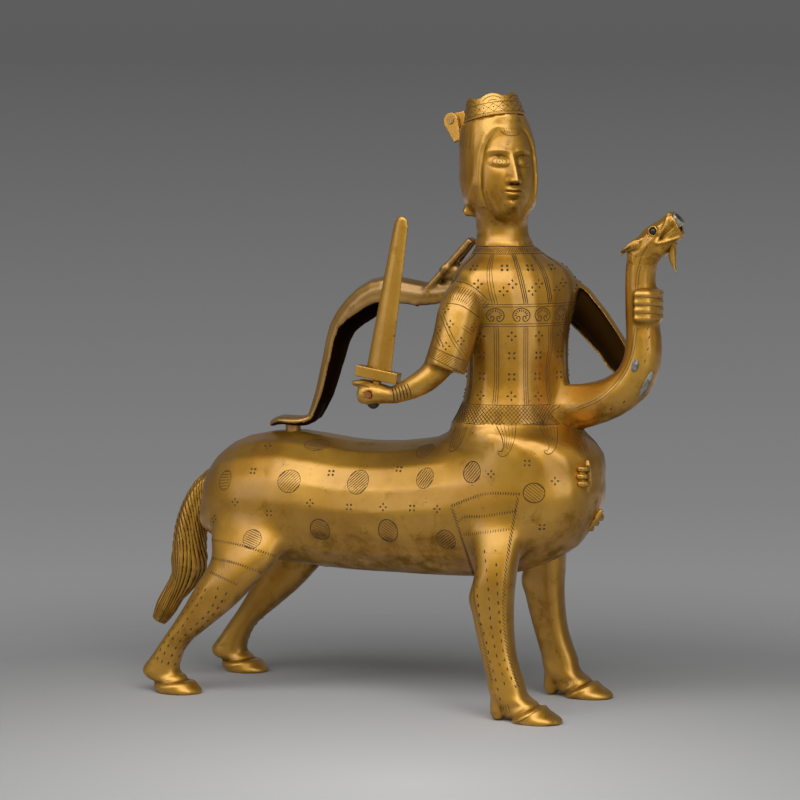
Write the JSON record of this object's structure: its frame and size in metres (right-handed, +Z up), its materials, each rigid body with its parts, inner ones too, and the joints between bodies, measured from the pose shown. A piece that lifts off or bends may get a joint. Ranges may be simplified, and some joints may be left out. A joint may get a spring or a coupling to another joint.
{
  "type": "aquamanile",
  "caption": "Hollow cast latten water pourer: a crowned centaur with sword and back handle grips a dragon spout; the hinged crown is the filling lid.",
  "frame": {"origin": "on the ground under the middle of the box round the whole object", "axes": "+X the way the horse faces, +Y its left side, +Z up"},
  "size_m": [0.3386, 0.1104, 0.3544],
  "materials": {
    "latten": "worn cast latten with engraving and dark patina",
    "latten_lid": "worn cast latten, engraved band",
    "dark_latten": "dark, rough latten",
    "sword_latten": "dull worn latten",
    "dark_iron": "dark, tarnished metal",
    "copper": "worn red copper",
    "pewter": "dull pale pewter",
    "solder": "grey soft solder",
    "eye_glass": "dark blue-black glass"
  },
  "bodies": {
    "vessel": {"horse_barrel": "latten", "foreleg_right": "latten", "foreleg_left": "latten", "hindleg_right": "latten", "hindleg_left": "latten", "tail": "latten", "torso": "latten", "head": "latten", "hinge_bracket": "latten", "right_arm": "latten", "left_arm": "latten", "spout_root": "latten", "spout_neck": "latten", "dragon_head": "latten", "dragon_paws": "latten", "handle": "latten", "hinge_pin": "dark_latten", "sword": "sword_latten", "sword_pommel": "dark_iron", "handle_peg": "dark_iron", "core_plugs": "dark_latten", "sword_rivet": "copper", "spout_mouth_ring": "pewter", "spout_patches": "solder", "dragon_eyes": "eye_glass"},
    "lid": {"crown_lid": "latten_lid"}
  },
  "joints": [
    {"name": "crown_hinge", "type": "hinge", "parent": "vessel", "child": "lid", "pos_m": [0.02949, 0.00025, 0.3378], "axis": [-0.0109, -0.994, 0.1091], "range_deg": [0, 110]}
  ]
}
